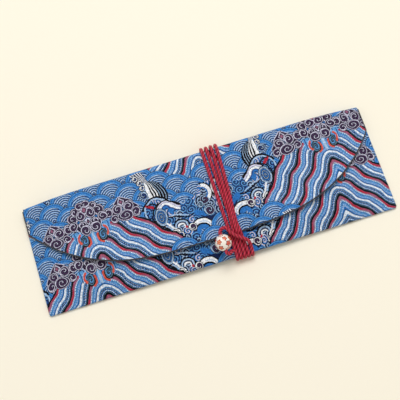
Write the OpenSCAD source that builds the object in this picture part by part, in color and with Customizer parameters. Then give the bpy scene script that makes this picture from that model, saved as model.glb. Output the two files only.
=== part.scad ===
// Brocade pouch for incense sticks: a flat, softly swollen case of stiffened silk brocade. A curved
// flap folds over its long top edge, and a red cord with a china bead is wound round it to hold it shut.
// Millimetres. X runs along the pouch, Y from its bottom fold to its top fold, Z up from the table.

/* [Pouch] */
// Length of the pouch
pouch_length = 260; // [230:5:320]
// Width of the pouch, from its bottom fold to its top fold
pouch_width = 82; // [76:1:100]
// Clear height of the pocket above the cord that passes under the pouch
pocket_height = 4.8; // [4.6:0.1:8]
// How far in from each side edge the swell reaches its full height
side_run = 60; // [40:1:80]
// How far up from the bottom fold the swell reaches its full height
bottom_run = 40; // [30:1:55]
// Length at each end that lies flat on the table
foot_length = 20; // [10:1:30]
// Distance from the top fold's curve down to the edge of the pocket's mouth
mouth_drop = 1.5; // [1:0.1:4]

/* [Cloth] */
// Thickness of the silk brocade on the outside
brocade_t = 0.5; // [0.3:0.05:0.8]
// Thickness of the stiff interlining
interlining_t = 0.5; // [0.3:0.05:0.8]
// Thickness of the lining
lining_t = 0.2; // [0.15:0.05:0.4]

/* [Flap] */
// Depth of the flap in the middle, from the top fold
flap_depth = 66; // [55:1:68]
// Depth of the flap at its two short edges
flap_side_depth = 20; // [14:1:30]
// Air between the flap and the front of the pouch
flap_gap = 0.7; // [0.6:0.1:1.2]
// Radius of the two creases of the top fold, on the outside
crease_r = 3.5; // [2.5:0.1:4]
// Radius of the rolled edge round the flap
flap_edge_r = 0.6; // [0.4:0.05:0.7]

/* [Cord] */
// Diameter of the cord
cord_d = 2.7; // [2.2:0.1:3]
// Air between the cord and the cloth
cord_clearance = 0.25; // [0.2:0.05:0.4]
// Number of turns round the pouch
turns = 4; // [3:1:5]
// Place of the first turn along X, at the bottom fold
first_turn_x = 8.9; // [0:0.1:15]
// Shift of the winding from the bottom fold to the top fold
winding_slant = -0.7; // [-2:0.1:2]
// Gap between turns at the bottom fold, where they are drawn together
turn_gap = 0.5; // [0.45:0.05:0.8]
// Gap between turns at the top fold, where they lie loose
top_turn_gap = 0.9; // [0.5:0.05:1.2]

/* [Bead] */
// Diameter of the china bead
bead_d = 12; // [10:0.5:14]
// Length of the bead along its hole
bead_length = 11.4; // [9:0.1:13]
// Clearance between the cord and the wall of the bead's hole, all round
bead_hole_clearance = 0.15; // [0.1:0.05:0.3]
// Gap between the bead and the cloth under it
bead_gap = 0.6; // [0.5:0.1:1]
// Place of the bead along X
bead_x = 1.8; // [-2:0.1:2]
// Distance from the flap's tip down to the bead's middle
bead_below_tip = 5.6; // [5.4:0.1:7]

/* [Hidden] */

// Colours as the photograph shows them
brocade_blue = "#3F74C0";
brocade_deep = "#2A4A8C";
interlining_cream = "#E8E0CC";
lining_gold = "#C9A24A";
edge_navy = "#12162A";
cord_red = "#B01C38";
bead_white = "#F4EDE4";

// Counts of facets: stations along X, rows across a panel, steps in a quarter curve
stations = 26;
rows = 7;
quarter_steps = 3;
round_facets = 48;
// Power of the curve that draws the flap's edge, and of the one that swells the front
flap_power = 3.6;
swell_power = 3;
// Rows of a panel lie closer together near the bottom fold
row_power = 1.2;
// Share of the height of the top fold that its two creases may take up together
crease_share = 0.98;

half_l = pouch_length / 2;
half_w = pouch_width / 2;
panel_t = brocade_t + interlining_t + lining_t;
// The half-round edges of the pouch cover both panels where they meet
hem_r = panel_t;
span = half_l - hem_r;
cord_r = cord_d / 2;
bead_r = bead_d / 2;
turn_pitch = cord_d + turn_gap;
top_turn_pitch = cord_d + top_turn_gap;
last_turn_x = first_turn_x + turns * turn_pitch;
winding_x = (first_turn_x + last_turn_x) / 2;
// The underside of the pouch is raised over the cord on this half-width
plateau = (last_turn_x - first_turn_x) / 2 + 2 * cord_d;
rise = cord_d + cord_clearance;
pocket_level = rise + panel_t + pocket_height;
bottom_y = hem_r - half_w;
mouth_y = half_w - crease_r - mouth_drop;
flap_tip_y = half_w - flap_depth;

function clamp01(s) = min(max(s, 0), 1);
function ease(s) = clamp01(s) * clamp01(s) * (3 - 2 * clamp01(s));
function swell(s) = 1 - pow(1 - clamp01(s), swell_power);
function unit(v) = v / norm(v);
function sum(list) = list * [for (item = list) 1];

// Height of the underside: flat on the table at both ends, lifted over the cord in the middle
function lift(x) = x < winding_x
    ? rise * ease((x + half_l - foot_length) / (winding_x - plateau + half_l - foot_length))
    : rise * ease((half_l - foot_length - x) / (half_l - foot_length - winding_x - plateau));

// Height of the pocket's ceiling, which meets the back panel along the side edges and the bottom fold
function ceiling_z(x, y) =
    let (low = lift(x) + panel_t)
    low + (pocket_level - low) * swell((span - abs(x)) / side_run) * swell((y - bottom_y) / bottom_run);

function front_z(x, y) = ceiling_z(x, y) + panel_t;
function flap_z(x, y) = front_z(x, y) + flap_gap + panel_t;
function fold_top_z(x) = flap_z(x, half_w - crease_r);
function crease_r_at(x) = min(crease_r, (fold_top_z(x) - lift(x)) / 2 * crease_share);
function panel_top_y(x) = half_w - crease_r_at(x);

// The flap's outline: deepest in the middle, meeting the short edges at an angle
function flap_edge_y(x) =
    half_w - flap_side_depth - (flap_depth - flap_side_depth) * (1 - pow(abs(x) / span, flap_power));

function station(i) = span * (2 * i / stations - 1);
function row_share(j) = pow(j / rows, row_power);

// A closed skin over a row of rings, each a loop of points in the same order. The two halves of a ring
// split their quads along matching diagonals, so that layers of cloth lie face to face
module skin(rings) {
    n = len(rings[0]);
    last = (len(rings) - 1) * n;
    points = [for (ring = rings) each ring];
    sides = [
        for (i = [0 : len(rings) - 2], k = [0 : n - 1])
            let (a = i * n + k, b = i * n + (k + 1) % n)
            each k < n / 2 ? [[a, b, b + n], [a, b + n, a + n]] : [[a, b, a + n], [b, b + n, a + n]]
    ];
    cap = [
        for (k = [0 : n - 1]) if (k + 1 < n - 1 - k)
            each [[k, k + 1, n - 1 - k], if (k + 1 < n - 2 - k) [k + 1, n - 2 - k, n - 1 - k]]
    ];
    first_cap = [for (f = cap) [f[2], f[1], f[0]]];
    last_cap = [for (f = cap) [for (v = f) v + last]];
    faces = concat(sides, first_cap, last_cap);
    volume = sum([for (f = faces) points[f[0]] * cross(points[f[1]], points[f[2]])]);
    polyhedron(points, volume < 0 ? faces : [for (f = faces) [f[2], f[1], f[0]]]);
}

// One layer of cloth, between two depths under the outer face
module back_layer(depth, next_depth) {
    skin([
        for (i = [0 : stations])
            let (x = station(i), z = lift(x), top_y = panel_top_y(x))
            [[x, bottom_y, z + depth], [x, top_y, z + depth],
             [x, top_y, z + next_depth], [x, bottom_y, z + next_depth]]
    ]);
}

function row_points(x, low_y, high_y, height) = [
    for (j = [0 : rows])
        let (y = low_y + (high_y - low_y) * row_share(j))
        [x, y, height(x, y)]
];

function reversed(list) = [for (i = [len(list) - 1 : -1 : 0]) list[i]];
function lowered(list, depth) = [for (p = list) p - [0, 0, depth]];

module front_layer(depth, next_depth) {
    skin([
        for (i = [0 : stations])
            let (line = row_points(station(i), bottom_y, mouth_y, function(x, y) front_z(x, y)))
            concat(lowered(line, depth), reversed(lowered(line, next_depth)))
    ]);
}

module flap_layer(depth, next_depth) {
    skin([
        for (i = [0 : stations])
            let (
                x = station(i),
                line = row_points(x, flap_edge_y(x), panel_top_y(x), function(x, y) flap_z(x, y))
            )
            concat(lowered(line, depth), reversed(lowered(line, next_depth)))
    ]);
}

// The cloth of the top fold: up round the back crease, straight, and over the front crease
function fold_line(x, depth) =
    let (r = crease_r_at(x), y = half_w - r, low = lift(x) + r, high = fold_top_z(x) - r)
    concat(
        [for (j = [0 : quarter_steps])
            let (a = 90 * j / quarter_steps)
            [x, y + (r - depth) * sin(a), low - (r - depth) * cos(a)]],
        [for (j = [0 : quarter_steps])
            let (a = 90 * j / quarter_steps)
            [x, y + (r - depth) * cos(a), high + (r - depth) * sin(a)]]
    );

module fold_layer(depth, next_depth) {
    skin([
        for (i = [0 : stations])
            concat(fold_line(station(i), depth), reversed(fold_line(station(i), next_depth)))
    ]);
}

module back_brocade() {
    color(brocade_blue) back_layer(0, brocade_t);
}

module back_interlining() {
    color(interlining_cream) back_layer(brocade_t, brocade_t + interlining_t);
}

module back_lining() {
    color(lining_gold) back_layer(brocade_t + interlining_t, panel_t);
}

module front_brocade() {
    color(brocade_blue) front_layer(0, brocade_t);
}

module front_interlining() {
    color(interlining_cream) front_layer(brocade_t, brocade_t + interlining_t);
}

module front_lining() {
    color(lining_gold) front_layer(brocade_t + interlining_t, panel_t);
}

module fold_brocade() {
    color(brocade_blue) fold_layer(0, brocade_t);
}

module fold_interlining() {
    color(interlining_cream) fold_layer(brocade_t, brocade_t + interlining_t);
}

module fold_lining() {
    color(lining_gold) fold_layer(brocade_t + interlining_t, panel_t);
}

module flap_brocade() {
    color(brocade_blue) flap_layer(0, brocade_t);
}

module flap_interlining() {
    color(interlining_cream) flap_layer(brocade_t, brocade_t + interlining_t);
}

module flap_lining() {
    color(lining_gold) flap_layer(brocade_t + interlining_t, panel_t);
}

// The brocade folds round the bottom edge, over the edges of both panels
module bottom_fold() {
    color(brocade_deep) skin([
        for (i = [0 : stations])
            let (x = station(i), z = lift(x) + hem_r)
            [for (j = [0 : 2 * quarter_steps])
                let (a = 90 * j / quarter_steps)
                [x, bottom_y - hem_r * sin(a), z - hem_r * cos(a)]]
    ]);
}

// Half-round side edge, where the turned-in edges of both panels are sewn together, with a round corner
module side_edge() {
    hem_d = 2 * hem_r;
    translate([span, mouth_y, hem_r]) rotate([90, 0, 0])
        linear_extrude(height = mouth_y - bottom_y) intersection() {
            circle(hem_r, $fn = round_facets);
            translate([0, -hem_r]) square(hem_d);
        }
    translate([span, bottom_y, hem_r]) intersection() {
        sphere(hem_r, $fn = round_facets);
        translate([0, -hem_d, -hem_r]) cube(hem_d);
    }
}

module right_side_hem() {
    color(brocade_deep) side_edge();
}

module left_side_hem() {
    color(brocade_deep) mirror([1, 0, 0]) side_edge();
}

// The brocade turned over the front panel's edge at the pocket's mouth
module mouth_hem() {
    color(brocade_deep) skin([
        for (i = [0 : stations])
            let (x = station(i), r = panel_t / 2, z = ceiling_z(x, mouth_y) + r)
            [for (j = [0 : 2 * quarter_steps])
                let (a = 90 * j / quarter_steps)
                [x, mouth_y + r * sin(a), z - r * cos(a)]]
    ]);
}

// The rolled edge of the flap: down one short edge, along the curve and up the other
side_steps = 3;
flap_path = concat(
    [for (j = [0 : side_steps - 1])
        let (top = panel_top_y(span), low = flap_edge_y(span))
        [-span, top + (low - top) * j / side_steps]],
    [for (i = [0 : stations]) [station(i), flap_edge_y(station(i))]],
    [for (j = [side_steps - 1 : -1 : 0])
        let (top = panel_top_y(span), low = flap_edge_y(span))
        [span, top + (low - top) * j / side_steps]]
);

// Outward direction at a point of the path, square to the line between its neighbours
function outward(path, i) =
    let (
        ahead = path[min(i + 1, len(path) - 1)],
        behind = path[max(i - 1, 0)],
        along = unit(ahead - behind)
    )
    [along[1], -along[0]];

module flap_rolled_edge() {
    color(edge_navy) skin([
        for (i = [0 : len(flap_path) - 1])
            let (
                p = flap_path[i],
                out = outward(flap_path, i),
                z = flap_z(p[0], p[1]) - panel_t / 2
            )
            [for (j = [0 : 2 * quarter_steps])
                let (a = 90 * j / quarter_steps, reach = flap_edge_r * sin(a))
                [p[0] + out[0] * reach, p[1] + out[1] * reach, z - panel_t / 2 * cos(a)]]
    ]);
}

// Height of the middle of the cord where it lies on the front
cord_lie = cord_clearance + cord_r;
function on_flap_z(x, y) = flap_z(x, y) + cord_lie;
function on_front_z(x, y) = front_z(x, y) + cord_lie;

// Steps of one turn: round the bottom fold, up the front below the flap, up the flap, over the top
// fold, and back along the underside
bottom_turn = [for (j = [0 : 4]) 270 - 35 * j];
below_flap_shares = [0.25, 0.5, 0.75];
flap_shares = [0, 0.2, 0.45, 0.7, 1];
quarter_turn = [0, 30, 60, 90];
back_shares = [0.25, 0.5, 0.75];
turn_r = hem_r + cord_lie;
top_turn_r = crease_r + cord_lie;
crease_y = half_w - crease_r;

function turn_x(k, y) =
    let (
        low_x = first_turn_x + k * turn_pitch,
        high_x = first_turn_x + winding_slant + k * top_turn_pitch
    )
    low_x + (high_x - low_x) * clamp01((y - bottom_y) / (crease_y - bottom_y));

function round_the_bottom(x) = [
    for (a = bottom_turn)
        [x, bottom_y + turn_r * cos(a), lift(x) + hem_r + turn_r * sin(a)]
];

function one_turn(k) =
    let (
        x_low = turn_x(k, bottom_y),
        x_top = turn_x(k, crease_y),
        x_next = turn_x(k + 1, bottom_y),
        crest = fold_top_z(x_top) - crease_r,
        foot = lift(x_top) + crease_r
    )
    concat(
        round_the_bottom(x_low),
        [for (s = below_flap_shares)
            let (y = bottom_y + (flap_tip_y - bottom_y) * s, x = turn_x(k, y))
            [x, y, on_front_z(x, y) + cord_clearance * s]],
        [for (s = flap_shares)
            let (y = flap_tip_y + (crease_y - flap_tip_y) * s, x = turn_x(k, y))
            [x, y, on_flap_z(x, y) + cord_clearance * (1 - s)]],
        [for (a = reversed(quarter_turn)) if (a < 90)
            [x_top, crease_y + top_turn_r * cos(a), crest + top_turn_r * sin(a)]],
        [for (a = quarter_turn)
            [x_top, crease_y + top_turn_r * cos(a), foot - top_turn_r * sin(a)]],
        [for (s = back_shares)
            [x_top + (x_next - x_top) * s, crease_y + (bottom_y - crease_y) * s, cord_r]]
    );

// The free end starts on the underside
cord_start = [
    [6.2, 4, cord_r],
    [6.5, -2, cord_r],
    [7.3, -14, cord_r],
    [8.2, -28, cord_r]
];

bead_y = flap_tip_y - bead_below_tip;
bead_z = front_z(bead_x, bead_y) + bead_gap + bead_r;
bead_middle = [bead_x, bead_y, bead_z];

// The other end comes up over the bottom fold, crosses over the turns, loops through the bead and is
// tucked against the first turn. These points are measured from the middle of the bead
hitch = [
    [20.2, -7.0, -6.5],
    [19.9, -5.0, -4.1],
    [18.6, -3.1, -2.2],
    [16.0, -1.5, -1.2],
    [13.0, 0.3, -0.4],
    [10.0, 2.2, 0.3],
    [7.9, 4.2, 1.1],
    [6.5, 6.3, 1.6],
    [5.8, 8.2, 1.6],
    [4.2, 9.7, 1.3],
    [2.3, 9.9, 0.8],
    [0.7, 8.9, 0.3],
    [0, 7.2, 0],
    [0, 5.4, 0],
    [0, 0, 0],
    [0, -5.8, 0],
    [0.2, -7.3, -0.3],
    [1.1, -8.4, -1.1],
    [2.5, -8.1, -2.2],
    [3.9, -7.0, -3.0],
    [6.6, -6.6, -3.1]
];

cord_route = concat(
    cord_start,
    [for (k = [0 : turns - 1]) each one_turn(k)],
    round_the_bottom(last_turn_x),
    [for (p = hitch) bead_middle + p]
);

// Rings square to the route, each turned as little as it can be from the one before
function direction(route, i) =
    unit(route[min(i + 1, len(route) - 1)] - route[max(i - 1, 0)]);

function square_to(v, along) = unit(v - along * (v * along));

function side_vectors(route) = [
    for (
        i = 0, v = square_to([1, 0, 0], direction(route, 0));
        i < len(route);
        i = i + 1, v = i < len(route) ? square_to(v, direction(route, i)) : v
    ) v
];

module tube(route, r, sides) {
    across = side_vectors(route);
    skin([
        for (i = [0 : len(route) - 1])
            let (a = across[i], b = cross(direction(route, i), a))
            [for (s = [0 : sides - 1])
                let (angle = 360 * s / sides)
                route[i] + r * (a * cos(angle) + b * sin(angle))]
    ]);
}

cord_sides = 6;

module cord_winding() {
    color(cord_red) tube(cord_route, cord_r, cord_sides);
}

// Least gap of the cord to itself, measured between points along its whole route
samples_per_step = 4;
gap_samples = [
    for (i = [0 : len(cord_route) - 2], s = [0 : samples_per_step - 1])
        cord_route[i] + (cord_route[i + 1] - cord_route[i]) * s / samples_per_step
];
function lengths(points) = [
    for (i = 0, total = 0; i < len(points);
         i = i + 1, total = total + (i < len(points) ? norm(points[i] - points[i - 1]) : 0)) total
];
sample_lengths = lengths(gap_samples);
// Stretches of cord nearer along the route than this are one bend, and aren't compared
near_along = 3.2 * cord_d;
least_gap = min([
    for (i = [0 : len(gap_samples) - 1], j = [i + 1 : len(gap_samples) - 1])
        if (sample_lengths[j] - sample_lengths[i] > near_along)
            norm(gap_samples[i] - gap_samples[j])
]) - cord_d;
echo(least_cord_gap = least_gap, cord_length = sample_lengths[len(sample_lengths) - 1]);

// China bead: a slightly flattened ball with a hole along Y
module bead() {
    hole_r = cord_r + bead_hole_clearance;
    color(bead_white) translate(bead_middle) rotate([90, 0, 0]) difference() {
        intersection() {
            sphere(bead_r, $fn = round_facets);
            cube([bead_d, bead_d, bead_length], center = true);
        }
        cylinder(h = bead_d, r = hole_r, center = true, $fn = round_facets);
    }
}

back_brocade();
back_interlining();
back_lining();
front_brocade();
front_interlining();
front_lining();
bottom_fold();
left_side_hem();
right_side_hem();
mouth_hem();
fold_brocade();
fold_interlining();
fold_lining();
flap_brocade();
flap_interlining();
flap_lining();
flap_rolled_edge();
cord_winding();
bead();
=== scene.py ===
# %% [markdown]
# # A brocade pouch for incense sticks
# The pouch is a long pocket of stiffened silk brocade. Its flap folds over the top edge and is tied shut
# with a red cord that ends in a painted china bead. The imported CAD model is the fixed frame: every piece
# made here lies where the model says, in metres.

# %% Load the frame
import math

import bpy
import numpy as np
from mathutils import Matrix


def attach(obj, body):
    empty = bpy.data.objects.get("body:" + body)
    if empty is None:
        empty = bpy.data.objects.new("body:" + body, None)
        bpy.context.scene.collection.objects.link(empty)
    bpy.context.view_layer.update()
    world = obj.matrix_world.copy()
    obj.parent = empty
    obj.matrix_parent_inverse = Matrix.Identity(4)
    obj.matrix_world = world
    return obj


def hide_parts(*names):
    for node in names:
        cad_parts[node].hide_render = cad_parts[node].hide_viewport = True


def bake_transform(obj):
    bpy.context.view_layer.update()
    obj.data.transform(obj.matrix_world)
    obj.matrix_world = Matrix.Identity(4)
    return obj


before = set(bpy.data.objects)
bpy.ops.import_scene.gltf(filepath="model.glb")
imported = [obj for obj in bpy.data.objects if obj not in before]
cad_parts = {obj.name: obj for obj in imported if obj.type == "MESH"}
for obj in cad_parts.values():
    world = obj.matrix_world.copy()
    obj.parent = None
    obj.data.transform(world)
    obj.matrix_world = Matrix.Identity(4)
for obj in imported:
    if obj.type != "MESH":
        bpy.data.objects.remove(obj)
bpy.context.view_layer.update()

# %% [markdown]
# ## Two helpers
# Millimetres are the natural unit for a pouch, so the numbers below are in millimetres and one value turns
# them into metres. Everything is deselected before an operator runs, because operators act on all that is
# selected.

# %% Helpers
MM = 0.001
TO_MM = 1 / MM


def deselect_all():
    if bpy.context.object and bpy.context.object.mode != "OBJECT":
        bpy.ops.object.mode_set(mode="OBJECT")
    bpy.ops.object.select_all(action="DESELECT")


def apply_modifier(obj, kind, **settings):
    """Adds a modifier with its settings and applies it at once."""
    modifier = obj.modifiers.new(kind.title(), kind)
    for setting, value in settings.items():
        setattr(modifier, setting, value)
    deselect_all()
    bpy.context.view_layer.objects.active = obj
    obj.select_set(True)
    bpy.ops.object.modifier_apply(modifier=modifier.name)


# %% [markdown]
# ## Camera
# The photograph looks down at the pouch, turned so that the pouch climbs to the right. The lens is a short
# telephoto, and the place and turn were found by matching the pouch's four corners, the flap's tip and the
# bead.

# %% Camera
CAMERA_AT, CAMERA_TURN = (-0.0405, -0.1817, 0.6194), (17.289, 2.017, -17.438)
LENS, SENSOR = 80, 36
bpy.ops.object.camera_add(location=CAMERA_AT, rotation=[math.radians(angle) for angle in CAMERA_TURN])
camera = bpy.context.object
camera.name = "camera"
camera.data.lens = LENS
camera.data.sensor_width = SENSOR
bpy.context.scene.camera = camera
print("camera at", list(camera.location))

# %% [markdown]
# ## Materials: one node at a time
# Colours are written as sRGB hex, as a painter picks them, and turned to the linear values that Blender
# wants. One function adds a node with its settings and links. A small class lets plain arithmetic build
# Math nodes, so that a woven pattern can be written as formulas.

# %% Colours
def colour(hex_value):
    """The linear colour of an sRGB hex value."""
    parts = [int(hex_value[i:i + 2], 16) / 255 for i in (1, 3, 5)]
    linear = [c / 12.92 if c <= 0.04045 else ((c + 0.055) / 1.055) ** 2.4 for c in parts]
    return (*linear, 1.0)


# %% Nodes and their inputs
def feed(node, inputs):
    """Gives a node's sockets their values, or links them to sockets or numbers of its tree."""
    for name, value in inputs.items():
        if isinstance(value, Number):
            value = value.socket
        if isinstance(value, bpy.types.NodeSocket):
            node.id_data.links.new(value, node.inputs[name])
        else:
            node.inputs[name].default_value = value


def add_node(tree, kind, settings=None, inputs=None):
    """Adds a node with its settings, and feeds it."""
    node = tree.nodes.new(kind)
    for name, value in (settings or {}).items():
        setattr(node, name, value)
    feed(node, inputs or {})
    return node


# %% Numbers in a node tree
class Number:
    """A number on its way through a node tree. Arithmetic on it adds Math nodes."""

    def __init__(self, socket):
        self.socket = socket

    def math(self, operation, *others):
        inputs = dict(enumerate((self, *others)))
        node = add_node(self.socket.id_data, "ShaderNodeMath", {"operation": operation}, inputs)
        return Number(node.outputs[0])

    def swapped(self, operation, other):
        """The same, with the other number first."""
        node = add_node(
            self.socket.id_data, "ShaderNodeMath", {"operation": operation}, {0: other, 1: self}
        )
        return Number(node.outputs[0])


for name, operation in {
    "add": "ADD", "sub": "SUBTRACT", "mul": "MULTIPLY", "truediv": "DIVIDE",
    "mod": "FLOORED_MODULO", "lt": "LESS_THAN", "gt": "GREATER_THAN", "pow": "POWER",
}.items():
    setattr(Number, f"__{name}__", lambda a, b, op=operation: a.math(op, b))
    setattr(Number, f"__r{name}__", lambda a, b, op=operation: a.swapped(op, b))


def mix(mask, below, above):
    """Above where the mask is 1, and below where it is 0."""
    node = add_node(
        mask.socket.id_data, "ShaderNodeMix", {"data_type": "FLOAT"}, {0: mask, 2: below, 3: above}
    )
    return Number(node.outputs[0])


# %% A new material
def new_material(name):
    """A material with one Principled surface."""
    material = bpy.data.materials.new(name)
    material.use_nodes = True
    tree = material.node_tree
    tree.nodes.clear()
    output = add_node(tree, "ShaderNodeOutputMaterial")
    surface = add_node(tree, "ShaderNodeBsdfPrincipled")
    tree.links.new(surface.outputs[0], output.inputs["Surface"])
    return material, tree, surface


# %% [markdown]
# ## The brocade's pattern
# The cloth is silk brocade with the old pattern of sea, cliffs and clouds: scales of waves behind, cliffs
# of wavy stripes, clouds with curled lobes above them and breaking waves between. It repeats every 180 mm
# across and 138 mm down, the rows are shifted by half a repeat, and each repeat is its own mirror image.
# So the pattern is drawn once, over half a repeat, in two coordinates: `s`, the distance from a cliff's
# middle, and `q`, the distance down from its top. Each thread colour is an ink with a number, and shapes
# are laid over each other as a painter does, from back to front.

# %% Inks
INKS = {
    "night": "#03050C", "navy": "#142450", "deep": "#1F3F7E", "mid": "#2D72BF", "light": "#5E9EDB",
    "pale": "#AAC6E8", "white": "#F1F5FC", "red": "#B4283C", "coral": "#CF5648", "rose": "#98607E",
    "lilac": "#D0CEE6", "plum": "#452F50", "ash": "#1A1B32", "slate": "#557A92",
}
INK = {name: (i + 0.5) / len(INKS) for i, name in enumerate(INKS)}
print(len(INKS), "inks")

# %% The repeat, in millimetres
REPEAT_ACROSS, REPEAT_DOWN = 179.6, 138.0
HALF_ACROSS, HALF_DOWN = REPEAT_ACROSS / 2, REPEAT_DOWN / 2
CLOTH_TURN = math.radians(5.36)
CLIFF_AT = (-84.4, 34.4)
THREAD_STEP = 0.3
BORDER_LOW, BORDER_RISES = 51.0, ((23, 50, 24.0), (80, 88, 6.0))


def smooth(value, low, high):
    """0 below low, 1 above high, and a smooth rise between."""
    node = add_node(
        value.socket.id_data, "ShaderNodeMapRange", {"interpolation_type": "SMOOTHSTEP"},
        {"Value": value, "From Min": low, "From Max": high},
    )
    return Number(node.outputs[0])


def border_below(s):
    """Where a row of cliffs ends and the scales of the next row cover it."""
    border = BORDER_LOW
    for start, end, rise in BORDER_RISES:
        border = border - smooth(s, start, end) * rise
    return border


print("the pattern repeats every", REPEAT_ACROSS, "by", REPEAT_DOWN, "mm")

# %% [markdown]
# The sea is rows of overlapping fans, each row in front of the one above. A point is looked up in the three
# rows that can reach it, and the front one wins.

# %% Sea scales
SCALE_WIDTH, SCALE_STEP, SCALE_TOP, SCALE_R = HALF_ACROSS / 4, 7.37, -17.4, 10.9
SCALE_BAND, RING_DROP, RING_PITCH = 3.3, 2.6, 1.66


def sea_scales(s, q):
    """The ink, how far down the top of the fan lies, and the fan's middle."""
    first = ((q - SCALE_TOP) / SCALE_STEP).math("FLOOR")
    radius = top = middle = None
    for back in (2, 1, 0):
        row = first - back
        shift = row % 2 * (SCALE_WIDTH / 2) + SCALE_WIDTH / 2
        across = (s + shift) % SCALE_WIDTH - SCALE_WIDTH / 2
        row_top = row * SCALE_STEP + SCALE_TOP
        depth = q - row_top - SCALE_R
        r = (across * across + depth * depth).math("SQRT")
        if radius is None:
            radius, top, middle = r, row_top, s - across
        else:
            inside = r < SCALE_R
            radius, top = mix(inside, radius, r), mix(inside, top, row_top)
            middle = mix(inside, middle, s - across)
    edge = SCALE_R - radius
    # The thin rings run round a lower point, which the next rows cover
    across, depth = s - middle, q - top - SCALE_R - RING_DROP
    ring_edge = SCALE_R + RING_DROP - (across * across + depth * depth).math("SQRT")
    ring = (ring_edge - SCALE_BAND) / RING_PITCH % 1
    ink = mix(ring < 0.42, INK["navy"], INK["pale"])
    ink = mix(ring > 0.8, ink, INK["mid"])
    for reach, name in ((SCALE_BAND, "mid"), (2.7, "light"), (2.2, "mid"), (0.9, "light"), (0.45, "navy")):
        ink = mix(edge < reach, ink, INK[name])
    return ink, top, middle


# %% [markdown]
# A cliff is a stack of stripes that bend over its crest and run down both flanks, swinging as they go.
# Each stripe starts at its own distance down, and the stack repeats. Thin dotted lines run along some of
# them.

# %% Cliff stripes
STRIPE_REPEAT, STRIPE_START, STRIPE_SLOPE = 18.2, 0.6, 1.15
SWING, SWING_LENGTH, SWING_START, CREST_R = 1.33, 31, 28, 1.5
STRIPES = (
    (0.8, "rose"), (1.2, "red"), (2.3, "rose"), (3.5, "pale"), (3.9, "slate"), (4.5, "light"),
    (5.3, "deep"), (5.7, "light"), (6.7, "mid"), (7.6, "pale"), (8.0, "mid"), (9.1, "navy"),
    (9.6, "pale"), (10.0, "white"), (11.6, "pale"), (12.1, "deep"), (12.5, "light"), (13.0, "navy"),
    (14.6, "mid"), (15.2, "light"), (15.9, "navy"), (16.5, "slate"), (17.0, "night"),
)
DOTTED = ((4.2, "white"), (7.1, "pale"), (10.8, "pale"), (13.8, "pale"), (15.5, "white"))


def cliff_stripes(s, q):
    """Nested stripes down both flanks of a cliff, swinging between steep and shallow."""
    rounded = (s * s + CREST_R ** 2).math("SQRT") - CREST_R
    swing = ((s + q - SWING_START) * (2 * math.pi / SWING_LENGTH)).math("SINE") * SWING
    drop = q - rounded * STRIPE_SLOPE - swing
    place = (drop - STRIPE_START) % STRIPE_REPEAT
    ink = mix(place > STRIPES[0][0], INK["night"], INK[STRIPES[0][1]])
    for start, name in STRIPES[1:]:
        waver = swing * 0.6 if name == "rose" else 0
        ink = mix(place > start + waver, ink, INK[name])
    dots = (s * 0.85 + q * 0.25) % 1 < 0.5
    for middle, name in DOTTED:
        ink = mix(((place - middle).math("ABSOLUTE") < 0.3) * dots, ink, INK[name])
    return ink, drop


# %% [markdown]
# Waves, hooks and clouds are drawn with four strokes: a lobe with a spiral line, part of a ring, a line
# through points and a diamond. A list of strokes with their settings is laid on in its order.

# %% Strokes
LOBE_LINE = 0.45


def from_point(s, q, centre):
    """How far across and down a point lies from a centre, and how far away."""
    across, down = s - centre[0], q - centre[1]
    return across, down, (across * across + down * down).math("SQRT")


def lobe(ink, s, q, centre, r, turns, start=0.0, line="lilac", ground="plum", flat=1.0, pitch=2.9):
    """A round lobe with a spiral line inside an outline."""
    across, down, _ = from_point(s, q, centre)
    down = down * flat
    radius = (across * across + down * down).math("SQRT")
    angle = down.math("ARCTAN2", across) * (turns / (2 * math.pi))
    spiral = (radius / pitch - angle + start) % 1
    drawn = (spiral < 0.17).math("MAXIMUM", radius > r - LOBE_LINE)
    inside = mix((spiral - 0.62).math("ABSOLUTE") < 0.15, INK["ash"], INK[ground])
    ink = mix(radius < r + LOBE_LINE, ink, INK["night"])
    return mix(radius < r, ink, mix(drawn, inside, INK[line]))


def arc(ink, s, q, centre, r, width, towards, share, name):
    """Part of a ring: share, from -1 to 1, is how far round it runs from the direction towards."""
    across, down, radius = from_point(s, q, centre)
    facing = (across * math.cos(math.radians(towards)) + down * math.sin(math.radians(towards))) / radius
    return mix(((radius - r).math("ABSOLUTE") < width / 2) * (facing > share), ink, INK[name])


def stroke(ink, s, q, points, width, name):
    """A line through points, of one width."""
    nearest = None
    for (a, b), (c, d) in zip(points, points[1:]):
        length = (c - a) ** 2 + (d - b) ** 2
        across, down = s - a, q - b
        share = (across * ((c - a) / length) + down * ((d - b) / length)).math("MAXIMUM", 0.0)
        share = share.math("MINIMUM", 1.0)
        across, down = across - share * (c - a), down - share * (d - b)
        reach = across * across + down * down
        nearest = reach if nearest is None else nearest.math("MINIMUM", reach)
    return mix(nearest < width * width / 4, ink, INK[name])


# %% Diamonds, and many shapes at once
def diamond(ink, s, q, centre, size, ground):
    """A lozenge with an outline and a dark ring."""
    reach = (s - centre[0]).math("ABSOLUTE") + (q - centre[1]).math("ABSOLUTE") * 0.75
    ink = mix(reach < size, ink, INK["lilac"])
    return mix(reach < size - 1.5, mix(reach < size - 0.7, ink, INK["ash"]), INK[ground])


def painted(ink, s, q, shapes):
    """Lays shapes over the ink, the last in front. Each is a drawing function and its settings."""
    for draw, *settings in shapes:
        ink = draw(ink, s, q, *settings)
    return ink


# %% [markdown]
# Between the cliffs the sea breaks. Behind it stands a rock of black and white streaks, with a fan of spray
# on top.

# %% Rock
ROCK, ROCK_HALF, ROCK_WIDTH = (46.6, -7), 12.8, 13.6
SPRAY = (48.7, -19)


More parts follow.
